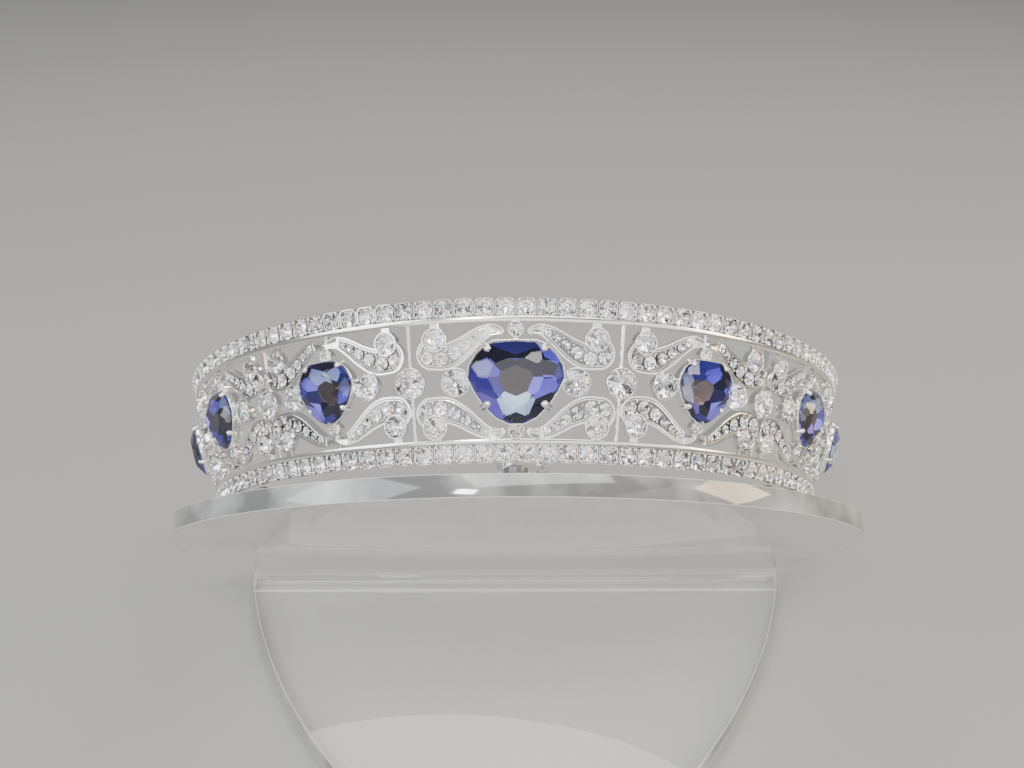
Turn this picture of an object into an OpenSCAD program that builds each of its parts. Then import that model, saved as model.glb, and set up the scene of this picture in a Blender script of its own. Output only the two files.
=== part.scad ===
// A bridal bandeau tiara with seven blue stones, resting on its clear bent display stand.
// Lengths are in millimetres and angles in degrees. +Z is up, +X is to the right and the
// front faces -Y. The origin is the middle of the underside of the whole object.

/* [Band] */
// Outer radius of the band at its lower edge
band_r = 73.2; // [71:0.1:75]
// Height of the band, measured up its slope
band_h = 31.5; // [31:0.1:32]
// How far the band leans outward from upright
band_lean = 15.6; // [12:0.1:18]
// Angle from the front to each end of the band
band_end = 94; // [93.5:0.1:95]
// Depth of the metal of the two stone rows, front to back
row_depth = 2.4; // [2.2:0.1:2.8]
// Distance from one row stone to the next
row_pitch = 4; // [3.9:0.05:4.3]
// Height of the two plain rails that edge the open work
rail_h = 1.05; // [0.85:0.05:1.2]

/* [Stones] */
// Radius of each round stone in the two rows
row_stone_r = 1.55; // [1.4:0.05:1.55]
// Height of each of the two stone rows
row_h = 3.6; // [3.4:0.1:3.8]
// Radius of the round stone in the head of each scroll
head_stone_r = 2; // [1.6:0.05:2.1]
// Radius of the round stones on the upright bars
bar_stone_r = 2.75; // [2.4:0.05:2.9]
// Radius of the round stones left and right of each blue stone
side_stone_r = 2.5; // [2:0.05:2.6]
// Width of the middle blue stone
middle_blue_w = 18; // [16:0.1:18.4]
// Height of the middle blue stone
middle_blue_h = 15.6; // [14:0.1:16]
// Width of the other six blue stones
other_blue_w = 12.7; // [11:0.1:13]
// Height of the other six blue stones
other_blue_h = 12; // [11:0.1:12.4]
// How far the girdle of a blue stone stands out from the band
blue_lift = 1.9; // [1.9:0.1:2.6]

/* [Panels] */
// Angle from the front to the first upright bar on each side
first_bar = 15.2; // [15:0.1:15.6]
// Angle from the front to the second upright bar
second_bar = 41.5; // [41.2:0.1:42]
// Angle from the front to the third upright bar
third_bar = 67.6; // [67.4:0.1:68]
// Thickness of the scroll plates
scroll_t = 1.4; // [1.2:0.1:1.8]

/* [Stand] */
// Thickness of the clear sheet
sheet_t = 4.3; // [3.5:0.1:5]
// Radius of the disc that carries the tiara
disc_r = 85; // [83:0.5:88]
// Angle between the disc and the foot
sheet_angle = 45; // [40:1:50]
// Inside radius of the bend between the disc and the foot
bend_r = 3; // [2:0.5:5]
// Half of the sheet's width at the bend
neck_w = 76; // [74:0.5:78]
// Radius of each long side of the foot
foot_side_r = 180; // [170:1:200]
// Radius of the rounded tip of the foot
foot_tip_r = 52; // [48:1:56]
// Gap between the disc and the lower edge of the band
pad_h = 4.1; // [3.6:0.1:4.6]
// Radius of each round support pad
pad_r = 2.3; // [2:0.1:2.6]
// Side of the small square block that the front of the band leans on
block_side = 7.7; // [6:0.1:8]

/* [Hidden] */
// Clearance between separate pieces
gap = 0.1;
// How far soldered pieces run into each other
solder = 0.3;
fine = 48;

// Places of the open work, measured up the slope of the band
rail_lap = 0.08;
low_rail_v = row_h - rail_lap;
top_rail_v = band_h - row_h - rail_h + rail_lap;
open_low_v = low_rail_v + rail_h;
middle_v = (open_low_v + top_rail_v) / 2;

function radius_at(v) = band_r + v * sin(band_lean);
function arc_angle(length, v) = length / radius_at(v) * 180 / PI;

// Rows of stones
cup_w = row_pitch - 0.25;
row_top_v = band_h - row_h / 2;
row_low_v = row_h / 2;
row_top_step = arc_angle(row_pitch, row_top_v);
row_low_step = arc_angle(row_pitch, row_low_v);
function row_count(step) = floor(band_end / step);
row_end = min(row_count(row_top_step) * row_top_step, row_count(row_low_step) * row_low_step);
row_sink = 0.35;
cup_seat = 0.8;
cup_bore = 0.75;
cup_floor = 0.5;
rail_back = -1.9;
rail_front = 0.15;
link_gap = 0.3;
joint_lap = 0.4;
joint_inset = 0.06;

// Panels, numbered from the left end: each has a blue stone, four scrolls and four small settings
panels = 7;
mid_panel = (panels + 1) / 2;
// Bars on one side, from the front, and a place past the last one that ends the outer panel
side_bars = [first_bar, second_bar, third_bar, 2 * third_bar - second_bar];
function side_middle(k) = k == 0 ? 0 : (side_bars[k - 1] + side_bars[k]) / 2;
function panel_angle(i) = sign(i - mid_panel) * side_middle(abs(i - mid_panel));
function is_middle(i) = i == mid_panel;
function blue_w(i) = is_middle(i) ? middle_blue_w : other_blue_w;
function blue_h(i) = is_middle(i) ? middle_blue_h : other_blue_h;
function small_stone_r(i) = is_middle(i) ? 1.3 : 1.1;
function panel_v(i) = is_middle(i) ? middle_v - 0.45 : middle_v;
// From the middle of a blue stone to the rail above it, level 1, or below it, level -1
function rail_reach(i, level) = level > 0 ? top_rail_v - panel_v(i) : panel_v(i) - open_low_v;
function small_offset(i, level) = is_middle(i) ? rail_reach(i, level) - 1.5 : blue_h(i) / 2 + 1.3;
function side_offset(i) = blue_w(i) / 2 + side_stone_r;
function scroll_shift(i) = is_middle(i) ? 0.3 : 2.3;
function scroll_drop(i, level) = is_middle(i) && level < 0 ? 0.15 : 0.8;
bars = 6;
function bar_angle(i) = i <= bars / 2 ? -side_bars[bars / 2 - i] : side_bars[i - bars / 2 - 1];
post_angle = row_end - 0.6;

// Settings
rim = 0.3;
setting_top = 0.5;
setting_base = -1.5;
girdle_sink = 0.25;
head_top = 0.35;
back_depth = 0.74;
seat_hole = 0.8;
shelf_drop = 1;
claw_r = 0.5;

// Sheet of the stand: the fold line, measured back from the middle of the ring
plate_top_z = -pad_h;
disc_y = 0.5;
bend_start_y = disc_y + sqrt(disc_r * disc_r - neck_w * neck_w);
bend_reach = bend_r / tan(sheet_angle / 2);
bend_inset = 0.05;
fold_y = bend_start_y + bend_reach;
foot_slope = 0.26;
foot_side_x = foot_side_r / sqrt(1 + foot_slope * foot_slope) - neck_w;
foot_side_y = bend_reach - foot_slope * (foot_side_x + neck_w);
tip_gap = foot_side_r - foot_tip_r;
tip_y = foot_side_y + sqrt(tip_gap * tip_gap - foot_side_x * foot_side_x);
foot_reach = tip_y + foot_tip_r;
tangent_y = foot_side_y + (tip_y - foot_side_y) * foot_side_r / tip_gap;
ring_back_y = -radius_at(band_h) * cos(row_end);
band_back_y = (ring_back_y - fold_y) * cos(sheet_angle)
    + (band_h * cos(band_lean) + pad_h + sheet_t) * sin(sheet_angle);
bend_back_y = bend_r + sheet_t - bend_reach;
fold_world_y = (foot_reach - max(band_back_y, bend_back_y)) / 2;

pad_angles = [-57, -48, 0, 48, 57];
pad_ring_r = band_r - row_depth / 2;
pad_dome_r = 3;
pad_clearance = 0.3;
block_place = [1.4, -64.2];
block_turn = 36.5;

// Puts the tilted disc and all that stands on it over the foot
module on_disc() {
    translate([0, fold_world_y, sheet_t])
        rotate([-sheet_angle, 0, 0])
            translate([0, -fold_y, pad_h + sheet_t])
                children();
}

// A place on the face of the band: x runs to the right, y up the slope and z outward
module on_band(angle, v = 0) {
    rotate([0, 0, angle])
        translate([0, -band_r, 0])
            rotate([90 + band_lean, 0, 0])
                translate([0, v, 0])
                    children();
}

// Cut stones

// Closed solid through rings of one outline: each ring is a scale and a height, top first
module faceted_stone(outline, rings) {
    n = len(outline);
    k = len(rings);
    points = [for (ring = rings) for (p = outline) [p[0] * ring[0], p[1] * ring[0], ring[1]]];
    walls = [for (j = [0:k - 2]) for (i = [0:n - 1])
        [j * n + i, j * n + (i + 1) % n, (j + 1) * n + (i + 1) % n, (j + 1) * n + i]];
    top = [for (i = [n - 1:-1:0]) i];
    bottom = [for (i = [0:n - 1]) (k - 1) * n + i];
    polyhedron(points, concat([top], walls, [bottom]), convexity = 4);
}

// A round cut stone with its girdle at height 0: table, sloping crown and pointed back
module round_stone(r) {
    sides = 8;
    girdle = [for (i = [0:sides - 1]) [cos(i * 360 / sides) * r, sin(i * 360 / sides) * r, 0]];
    table = [for (p = girdle) [0.6 * p[0], 0.6 * p[1], 0.3 * r]];
    polyhedron(
        concat(table, girdle, [[0, 0, -back_depth * r]]),
        concat(
            [[for (i = [sides - 1:-1:0]) i]],
            [for (i = [0:sides - 1]) [i, (i + 1) % sides, sides + (i + 1) % sides, sides + i]],
            [for (i = [0:sides - 1]) [sides + i, sides + (i + 1) % sides, 2 * sides]]));
}

// Right half of the outline of a blue stone of width 2 and height 2: across, up
BLUE_HALF = [
    [0, 1], [0.42, 0.985], [0.64, 0.89], [0.83, 0.68], [0.97, 0.40], [1, 0.12],
    [0.86, -0.22], [0.66, -0.56], [0.42, -0.83], [0.15, -0.98]
];
function blue_outline(w, h, grow = 0) = [
    for (p = concat(
        [for (i = [len(BLUE_HALF) - 1:-1:0]) BLUE_HALF[i]],
        [for (i = [1:len(BLUE_HALF) - 1]) [-BLUE_HALF[i][0], BLUE_HALF[i][1]]]))
    [p[0] * (w / 2 + grow), p[1] * (h / 2 + grow)]
];

module blue_cut(w, h) {
    d = h / 2;
    faceted_stone(blue_outline(w, h),
        [[0.56, 0.28 * d], [0.84, 0.18 * d], [1, 0], [0.72, -0.22 * d], [0.1, -0.44 * d]]);
}

// Metal work of the band

// Square cup of one row stone, its front at depth 0
module row_cup(height) {
    difference() {
        translate([-cup_w / 2, -height / 2, -row_depth])
            cube([cup_w, height, row_depth]);
        translate([0, 0, -cup_seat])
            cylinder(r = row_stone_r + gap, h = 1, $fn = fine);
        translate([0, 0, cup_floor - row_depth])
            cylinder(r = row_stone_r * cup_bore, h = row_depth - cup_floor - cup_seat / 2, $fn = fine);
    }
}

// Straight length of rail, its lower side at height v, thinned all round by inset
module rail_piece(length, v, inset = 0) {
    translate([-length / 2, v + inset, rail_back + inset])
        cube([length, rail_h - 2 * inset, rail_front - rail_back - 2 * inset]);
}

// A row of cups at height v, on the rail at height rail_v: a link under each cup, and joints between
module stone_row(step, v, rail_v) {
    count = row_count(step);
    link = 2 * (radius_at(rail_v) + rail_back) * tan(step / 2) - link_gap;
    for (i = [-count:count - 1]) {
        on_band((i + 0.5) * step, v)
            row_cup(row_h);
        on_band((i + 0.5) * step)
            rail_piece(link, rail_v);
    }
    for (i = [1 - count:count - 1])
        on_band(i * step)
            rail_piece(row_pitch - link + 2 * joint_lap, rail_v, joint_inset);
}

// Round open-backed setting for a stone of radius r
module round_setting(r, top = setting_top) {
    difference() {
        translate([0, 0, setting_base])
            cylinder(r = r + rim, h = top - setting_base, $fn = fine);
        round_seat(r, top);
    }
}

// Room for the stone: a ledge just under its girdle and a hole behind it
module round_seat(r, top = setting_top) {
    ledge = back_depth * ((1 - seat_hole) * r + gap);
    translate([0, 0, top - girdle_sink - ledge])
        cylinder(r = r + gap, h = 2, $fn = fine);
    translate([0, 0, setting_base - 1])
        cylinder(r = r * seat_hole, h = 4, $fn = fine);
}

// Body of a scroll, measured from the rail above it: along, up, half width
SCROLL_SPINE = [
    [-5.4, -5.0, 2.95], [-2.6, -5.5, 2.6], [0.2, -4.25, 2.15], [2.7, -2.45, 1.7],
    [5.2, -0.95, 1.3], [7.4, -0.9, 0.85], [8.5, -1.6, 0.4]
];
scroll_bulb = [-5.4, -5.0, 3.2];
scroll_head = [-5, -2.3, head_stone_r + 0.4];
scroll_middle = 11;
neck_half = 0.9;
neck_start = scroll_head[1] + head_stone_r + 0.2;

// Smooth course through the rows of a table, a quarter of a row at a time
function row_of(t, i) = t[max(0, min(len(t) - 1, i))];
function smooth(t, i, f) =
    let (a = row_of(t, i - 1), b = row_of(t, i), c = row_of(t, i + 1), d = row_of(t, i + 2))
    0.5 * (2 * b + (c - a) * f + (2 * a - 5 * b + 4 * c - d) * f * f + (3 * b - a - 3 * c + d) * f * f * f);
function course(t, parts) = concat(
    [for (i = [0:len(t) - 2]) for (k = [0:parts - 1]) smooth(t, i, k / parts)],
    [t[len(t) - 1]]
);
function side_point(c, i, side) =
    let (a = row_of(c, i - 1), b = row_of(c, i + 1), d = [b[0] - a[0], b[1] - a[1]])
    [c[i][0], c[i][1]] + side * c[i][2] * [-d[1], d[0]] / norm(d);

module scroll_outline() {
    c = course(SCROLL_SPINE, 3);
    last = len(c) - 1;
    polygon(concat(
        [for (i = [0:last]) side_point(c, i, 1)],
        [for (i = [last:-1:0]) side_point(c, i, -1)]));
    translate([scroll_bulb[0], scroll_bulb[1]])
        circle(r = scroll_bulb[2], $fn = fine);
}

// One comma scroll that runs to the right under the upper rail, with the collet in its head
// and a short neck from there up to the rail, which is this far above
module scroll(drop) {
    translate([scroll_head[0] - neck_half, neck_start, 0.2 - scroll_t])
        cube([2 * neck_half, drop + solder - neck_start, 0.9]);
    difference() {
        union() {
            translate([0, 0, -scroll_t])
                linear_extrude(scroll_t)
                    scroll_outline();
            translate([scroll_head[0], scroll_head[1], -scroll_t])
                cylinder(r = scroll_head[2], h = scroll_t + head_top, $fn = fine);
        }
        translate([scroll_head[0], scroll_head[1], 0])
            round_seat(head_stone_r, head_top);
    }
}

// Places its child at two scrolls of a panel, level 1 under the upper rail or level -1 over the lower
module at_scrolls(i, level) {
    edge_v = level > 0 ? top_rail_v : open_low_v;
    shift = scroll_shift(i) - scroll_middle;
    for (side = [-1, 1])
        on_band(panel_angle(i) - side * arc_angle(shift, edge_v - 5 * level), edge_v)
            mirror([side > 0 ? 1 : 0, 0, 0])
                mirror([0, level > 0 ? 0 : 1, 0])
                    translate([0, -scroll_drop(i, level), 0])
                        children();
}

// Collar under a blue stone: a narrow foot, a wider ring with a shelf, and four claws
module blue_setting(w, h) {
    shelf = blue_lift - shelf_drop;
    difference() {
        union() {
            translate([0, 0, setting_base])
                linear_extrude(shelf - 0.1 - setting_base)
                    polygon(blue_outline(w, h, -0.9));
            translate([0, 0, shelf - 0.3])
                linear_extrude(shelf_drop + 0.5)
                    polygon(blue_outline(w, h, rim));
        }
        translate([0, 0, setting_base - 1])
            linear_extrude(blue_lift + 4)
                polygon(blue_outline(w, h, -1.2));
        translate([0, 0, shelf])
            linear_extrude(2 * shelf_drop)
                polygon(blue_outline(w, h, -0.25));
        translate([0, 0, blue_lift - rim])
            linear_extrude(shelf_drop)
                polygon(blue_outline(w, h, gap));
    }
    for (side = [-1, 1])
        for (c = [BLUE_HALF[2], BLUE_HALF[7]])
            translate([
                side * (c[0] * w / 2 + claw_r - 0.05),
                c[1] * h / 2 + sign(c[1]) * (claw_r - 0.05),
                shelf - 0.1
            ])
                cylinder(r = claw_r, h = shelf_drop + 1, $fn = 24);
}

// A strut from the collar of the blue stone to a setting beside it
module strut(from, to, width) {
    translate([from, -width / 2, setting_base + 0.2])
        cube([to - from, width, 0.9]);
}

module panel_metal(i) {
    w = blue_w(i);
    h = blue_h(i);
    on_band(panel_angle(i), panel_v(i)) {
        blue_setting(w, h);
        for (level = [-1, 1])
            rotate([0, 0, 90 * level]) {
                offset_r = small_offset(i, level);
                translate([offset_r, 0, 0])
                    round_setting(small_stone_r(i));
                strut(h / 2 - 1.2, offset_r - small_stone_r(i) * 0.9, 1);
                strut(offset_r + small_stone_r(i) * 0.9, rail_reach(i, level) + solder, 0.8);
            }
        for (turn = [0, 180])
            rotate([0, 0, turn]) {
                translate([side_offset(i), 0, 0])
                    round_setting(side_stone_r);
                strut(w / 2 - 1.3, side_offset(i) - side_stone_r * 0.9, 1.2);
            }
    }
    for (level = [-1, 1])
        at_scrolls(i, level)
            scroll(scroll_drop(i, level));
}

// Upright bar from rail to rail
module upright(angle, width) {
    on_band(angle)
        translate([-width / 2, open_low_v - solder, -1.3])
            cube([width, top_rail_v - open_low_v + 2 * solder, 0.9]);
}

module bar_metal(angle) {
    difference() {
        upright(angle, 0.7);
        on_band(angle, middle_v)
            round_seat(bar_stone_r);
    }
    on_band(angle, middle_v)
        round_setting(bar_stone_r);
}

module tiara_frame() {
    color("gainsboro")
        on_disc() {
            stone_row(row_low_step, row_low_v, low_rail_v);
            stone_row(row_top_step, row_top_v, top_rail_v);
            for (i = [1:panels])
                panel_metal(i);
            for (i = [1:bars])
                bar_metal(bar_angle(i));
            for (side = [-1, 1])
                upright(side * post_angle, 1.6);
        }
}

// Stones

module row_stones(step, v) {
    count = row_count(step);
    color("aliceblue")
        on_disc()
            for (i = [-count:count - 1])
                on_band((i + 0.5) * step, v)
                    translate([0, 0, -row_sink])
                        round_stone(row_stone_r);
}

module scroll_head_stones() {
    color("aliceblue")
        on_disc()
            for (i = [1:panels])
                for (level = [-1, 1])
                    at_scrolls(i, level)
                        translate([scroll_head[0], scroll_head[1], head_top - girdle_sink])
                            round_stone(head_stone_r);
}

module blue_stone(i) {
    color("royalblue")
        on_disc()
            on_band(panel_angle(i), panel_v(i))
                translate([0, 0, blue_lift])
                    blue_cut(blue_w(i), blue_h(i));
}

// A round stone beside a blue one: turn 0 is its right, 90 above, 180 its left, -90 below
module accent_stone(i, turn) {
    upright_side = abs(turn) == 90;
    r = upright_side ? small_stone_r(i) : side_stone_r;
    offset_r = upright_side ? small_offset(i, sign(turn)) : side_offset(i);
    color("aliceblue")
        on_disc()
            on_band(panel_angle(i), panel_v(i))
                rotate([0, 0, turn])
                    translate([offset_r, 0, setting_top - girdle_sink])
                        round_stone(r);
}

module bar_stone(i) {
    color("aliceblue")
        on_disc()
            on_band(bar_angle(i), middle_v)
                translate([0, 0, setting_top - girdle_sink])
                    round_stone(bar_stone_r);
}

// Stand

module foot_outline() {
    intersection() {
        translate([-foot_side_x, -foot_side_y])
            circle(r = foot_side_r, $fn = 180);
        translate([foot_side_x, -foot_side_y])
            circle(r = foot_side_r, $fn = 180);
        translate([-neck_w - 1, -tangent_y])
            square([2 * neck_w + 2, tangent_y - bend_reach]);
    }
    intersection() {
        translate([0, -tip_y])
            circle(r = foot_tip_r, $fn = 120);
        translate([-neck_w, -foot_reach - 1])
            square([2 * neck_w, foot_reach + 1 - tangent_y]);
    }
}

// Side view of the bend, from the level foot round to the underside of the disc
module bend_profile() {
    difference() {
        circle(r = bend_r + sheet_t, $fn = fine);
        circle(r = bend_r, $fn = fine);
        polygon([[0, 0], [0, -20], [-20, -20], [-20, 20], [20 * sin(sheet_angle), 20 * cos(sheet_angle)]]);
    }
}

module stand_sheet() {
    color([0.85, 0.93, 0.95, 0.5]) {
        on_disc()
            translate([0, disc_y, plate_top_z - sheet_t])
                intersection() {
                    cylinder(r = disc_r, h = sheet_t, $fn = 180);
                    translate([-disc_r - 1, -disc_r - 1, -1])
                        cube([2 * disc_r + 2, disc_r + 1 + bend_start_y - disc_y, sheet_t + 2]);
                }
        translate([0, fold_world_y - bend_reach, sheet_t + bend_r])
            rotate([90, 0, 90])
                translate([0, 0, bend_inset - neck_w])
                    linear_extrude(2 * (neck_w - bend_inset))
                        bend_profile();
        translate([0, fold_world_y, 0])
            linear_extrude(sheet_t)
                foot_outline();
    }
}

module stop_block() {
    color([0.85, 0.93, 0.95, 0.5])
        on_disc()
            translate([block_place[0], block_place[1], plate_top_z + gap])
                rotate([0, 0, block_turn])
                    translate([-block_side / 2, -block_side / 2, 0])
                        cube(block_side);
}

// Round pad with a domed top, under the lower row
module support_pad(i) {
    height = pad_h - pad_clearance;
    color("darkgray")
        on_disc()
            rotate([0, 0, pad_angles[i - 1]])
                translate([0, -pad_ring_r, plate_top_z + gap])
                    rotate_extrude($fn = fine)
                        intersection() {
                            square([pad_r, height]);
                            translate([0, height - pad_dome_r])
                                circle(r = pad_dome_r, $fn = fine);
                        }
}

tiara_frame();
row_stones(row_top_step, row_top_v);  // top_row_stones
row_stones(row_low_step, row_low_v);  // bottom_row_stones
scroll_head_stones();
for (i = [1:panels]) {
    blue_stone(i);
    accent_stone(i, 0);
    accent_stone(i, 90);
    accent_stone(i, 180);
    accent_stone(i, -90);
}
for (i = [1:bars])
    bar_stone(i);
stand_sheet();
stop_block();
for (i = [1:len(pad_angles)])
    support_pad(i);
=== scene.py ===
# A bridal bandeau tiara with seven blue stones, on its clear bent stand: shapes, finishes, light and camera.
# Pieces are modelled on a bench in millimetres, lying flat, and each copy is set in its place in metres.
import random
from math import asin, atan2, cos, pi, radians, sin, sqrt, tan

import bmesh
import bpy
from mathutils import Matrix, Vector


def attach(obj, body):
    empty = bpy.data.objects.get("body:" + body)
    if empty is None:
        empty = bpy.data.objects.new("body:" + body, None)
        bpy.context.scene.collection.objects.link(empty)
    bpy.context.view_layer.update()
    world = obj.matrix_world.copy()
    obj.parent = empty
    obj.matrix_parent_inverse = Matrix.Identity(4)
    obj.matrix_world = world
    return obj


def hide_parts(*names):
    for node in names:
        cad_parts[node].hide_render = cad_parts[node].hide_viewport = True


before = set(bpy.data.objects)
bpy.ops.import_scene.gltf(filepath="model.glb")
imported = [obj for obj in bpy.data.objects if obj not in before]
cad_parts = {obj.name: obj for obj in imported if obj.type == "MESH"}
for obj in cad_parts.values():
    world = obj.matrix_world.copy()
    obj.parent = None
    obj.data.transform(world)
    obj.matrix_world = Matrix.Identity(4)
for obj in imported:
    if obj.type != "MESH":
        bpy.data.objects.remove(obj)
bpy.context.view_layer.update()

MM = 0.001

# The band, as in the part's source
BAND_R = 73.2
BAND_H = 31.5
BAND_LEAN = radians(15.6)
BAND_END = radians(94)
ROW_DEPTH = 2.4
ROW_PITCH = 4.0
RAIL_H = 1.05
RAIL_LAP = 0.08
ROW_STONE_R = 1.62
ROW_H = 3.6
ROW_SINK = 0.35
RAIL_BACK = -1.9
RAIL_FRONT = 0.15
RAIL_PARTS = 188
CUP_W = ROW_PITCH - 0.25
SOLDER = 0.3
LOW_RAIL_V = ROW_H - RAIL_LAP
TOP_RAIL_V = BAND_H - ROW_H - RAIL_H + RAIL_LAP
OPEN_LOW_V = LOW_RAIL_V + RAIL_H
MIDDLE_V = (OPEN_LOW_V + TOP_RAIL_V) / 2

# Stones and settings
HEAD_STONE_R = 2.0
BAR_STONE_R = 2.75
SIDE_STONE_R = 2.5
BLUE_LIFT = 1.9
SCROLL_T = 1.4
RIM = 0.3
SETTING_TOP = 0.5
SETTING_BASE = -1.5
GIRDLE_SINK = 0.25
HEAD_TOP = 0.35
BACK_DEPTH = 0.74
BROAD_BLUE = (18.0, 15.6)
SIDE_BLUE = (12.7, 12.0)
BROAD_SMALL_R = 1.3
SIDE_SMALL_R = 1.1
SMALL_TO_RAIL = 1.5
SMALL_TO_BLUE = 1.3
MIDDLE_DROP = 0.45
GAP = 0.1

# Panels, from the left end, and the bars between them
FIRST_BAR, SECOND_BAR, THIRD_BAR = radians(15.2), radians(41.5), radians(67.6)
SIDE_BARS = [FIRST_BAR, SECOND_BAR, THIRD_BAR, 2 * THIRD_BAR - SECOND_BAR]
PANELS = range(1, 8)
MID_PANEL = 4
BARS = range(1, 7)

# The stand
SHEET_T = 4.3
DISC_R = 85
DISC_Y = 0.5
SHEET_ANGLE = radians(45)
BEND_R = 3
NECK_W = 76
FOOT_SIDE_R = 180
FOOT_TIP_R = 52
PAD_H = 4.1
PAD_R = 2.3
PAD_WALL_H = 3.13
PAD_DOME_R = 3
PAD_CLEARANCE = 0.3
PAD_ANGLES = (-57, -48, 0, 48, 57)
BLOCK_SIDE = 7.7
BLOCK_PLACE = (1.4, -64.2)
BLOCK_TURN = radians(36.5)
BEND_START_Y = DISC_Y + sqrt(DISC_R ** 2 - NECK_W ** 2)
BEND_REACH = BEND_R / tan(SHEET_ANGLE / 2)
BEND_TURN = pi - SHEET_ANGLE
FOLD_Y = BEND_START_Y + BEND_REACH
FOOT_SLOPE = 0.26
FOOT_SIDE_X = FOOT_SIDE_R / sqrt(1 + FOOT_SLOPE ** 2) - NECK_W
FOOT_SIDE_Y = BEND_REACH - FOOT_SLOPE * (FOOT_SIDE_X + NECK_W)
TIP_GAP = FOOT_SIDE_R - FOOT_TIP_R
TIP_Y = FOOT_SIDE_Y + sqrt(TIP_GAP ** 2 - FOOT_SIDE_X ** 2)
FOOT_REACH = TIP_Y + FOOT_TIP_R
TANGENT_Y = FOOT_SIDE_Y + (TIP_Y - FOOT_SIDE_Y) * FOOT_SIDE_R / TIP_GAP


def radius_at(v):
    return BAND_R + v * sin(BAND_LEAN)


def arc_angle(length, v):
    return length / radius_at(v)


ROW_TOP_V = BAND_H - ROW_H / 2
ROW_LOW_V = ROW_H / 2
ROW_TOP_STEP = arc_angle(ROW_PITCH, ROW_TOP_V)
ROW_LOW_STEP = arc_angle(ROW_PITCH, ROW_LOW_V)
ROW_TOP_COUNT = int(BAND_END / ROW_TOP_STEP)
ROW_LOW_COUNT = int(BAND_END / ROW_LOW_STEP)
ROW_END = min(ROW_TOP_COUNT * ROW_TOP_STEP, ROW_LOW_COUNT * ROW_LOW_STEP)
POST_ANGLE = ROW_END - radians(0.6)


def panel_angle(i):
    steps = abs(i - MID_PANEL)
    if steps == 0:
        return 0.0
    return (1 if i > MID_PANEL else -1) * (SIDE_BARS[steps - 1] + SIDE_BARS[steps]) / 2


def bar_angle(i):
    return -SIDE_BARS[3 - i] if i <= 3 else SIDE_BARS[i - 4]


def panel_v(i):
    return MIDDLE_V - (MIDDLE_DROP if i == MID_PANEL else 0)


def blue_size(i):
    return BROAD_BLUE if i == MID_PANEL else SIDE_BLUE


def small_stone_r(i):
    return BROAD_SMALL_R if i == MID_PANEL else SIDE_SMALL_R


def rail_reach(i, level):
    """Distance from the middle of a panel to the rail above it (level 1) or below it (level -1)."""
    return TOP_RAIL_V - panel_v(i) if level > 0 else panel_v(i) - OPEN_LOW_V


def small_offset(i, level):
    """Distance from the middle of a panel to its upper or lower small stone."""
    return rail_reach(i, level) - SMALL_TO_RAIL if i == MID_PANEL else blue_size(i)[1] / 2 + SMALL_TO_BLUE


def side_offset(i):
    """Distance from the middle of a panel to the round stone on each side."""
    return blue_size(i)[0] / 2 + SIDE_STONE_R


def move(x=0.0, y=0.0, z=0.0):
    return Matrix.Translation((x, y, z))


def turn(angle, axis):
    return Matrix.Rotation(angle, 4, axis)


# The tilted disc carries the band; its fold is brought over the foot so that the whole stands centred
ring_back_y = -radius_at(BAND_H) * cos(ROW_END)
band_back_y = ((ring_back_y - FOLD_Y) * cos(SHEET_ANGLE)
               + (BAND_H * cos(BAND_LEAN) + PAD_H + SHEET_T) * sin(SHEET_ANGLE))
FOLD_WORLD_Y = (FOOT_REACH - max(band_back_y, BEND_R + SHEET_T - BEND_REACH)) / 2
ON_DISC = (Matrix.Scale(MM, 4) @ move(y=FOLD_WORLD_Y, z=SHEET_T)
           @ turn(-SHEET_ANGLE, "X") @ move(y=-FOLD_Y, z=PAD_H + SHEET_T))


def on_band(angle, v=0.0, lift=0.0):
    """A place on the face of the band: x runs to the right, y up the slope and z outward."""
    return ON_DISC @ turn(angle, "Z") @ move(y=-BAND_R) @ turn(pi / 2 + BAND_LEAN, "X") @ move(y=v, z=lift)


# Benchwork

bench_pieces = []


def start(name, primitive, **size):
    """A new piece from one primitive, opened for editing."""
    bpy.ops.object.select_all(action="DESELECT")
    primitive(**size)
    piece = bpy.context.active_object
    piece.name = piece.data.name = name
    bpy.ops.object.mode_set(mode="EDIT")
    bpy.ops.mesh.select_mode(type="FACE")
    return piece


def pick(test, mode="FACE"):
    """Selects the faces, edges or points that pass a test of their middle and of themselves."""
    bpy.ops.mesh.select_mode(type=mode)
    bpy.ops.mesh.select_all(action="DESELECT")
    mesh = bpy.context.edit_object.data
    shape = bmesh.from_edit_mesh(mesh)
    for part in {"FACE": shape.faces, "EDGE": shape.edges, "VERT": shape.verts}[mode]:
        if mode == "VERT":
            middle = part.co
        else:
            middle = sum((v.co for v in part.verts), Vector()) / len(part.verts)
        if test(middle, part):
            part.select_set(True)
    bmesh.update_edit_mesh(mesh)


def is_top(middle, face):
    return face.normal.z > 0.9


def is_bottom(middle, face):
    return face.normal.z < -0.9


def is_open(middle, edge):
    return len(edge.link_faces) == 1


def slice_off(point, normal):
    """Cuts the piece with a flat plane, takes away what lies outside, and closes the cut."""
    bpy.ops.mesh.select_all(action="SELECT")
    bpy.ops.mesh.bisect(plane_co=point, plane_no=Vector(normal).normalized(), use_fill=True,
                        clear_outer=True, threshold=1e-5)


def slide(x=0.0, y=0.0, z=0.0):
    bpy.ops.transform.translate(value=(x, y, z))


def rotate(angle, axis, centre=(0, 0, 0)):
    bpy.ops.transform.rotate(value=-angle, orient_axis=axis, center_override=centre)


def resize(x, y, z, centre=(0, 0, 0)):
    bpy.ops.transform.resize(value=(x, y, z), center_override=centre)


def extrude(x=0.0, y=0.0, z=0.0):
    bpy.ops.mesh.extrude_region_move(TRANSFORM_OT_translate={"value": (x, y, z)})


def inset(width, rise=0.0):
    bpy.ops.mesh.inset(thickness=width, depth=rise)


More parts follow.
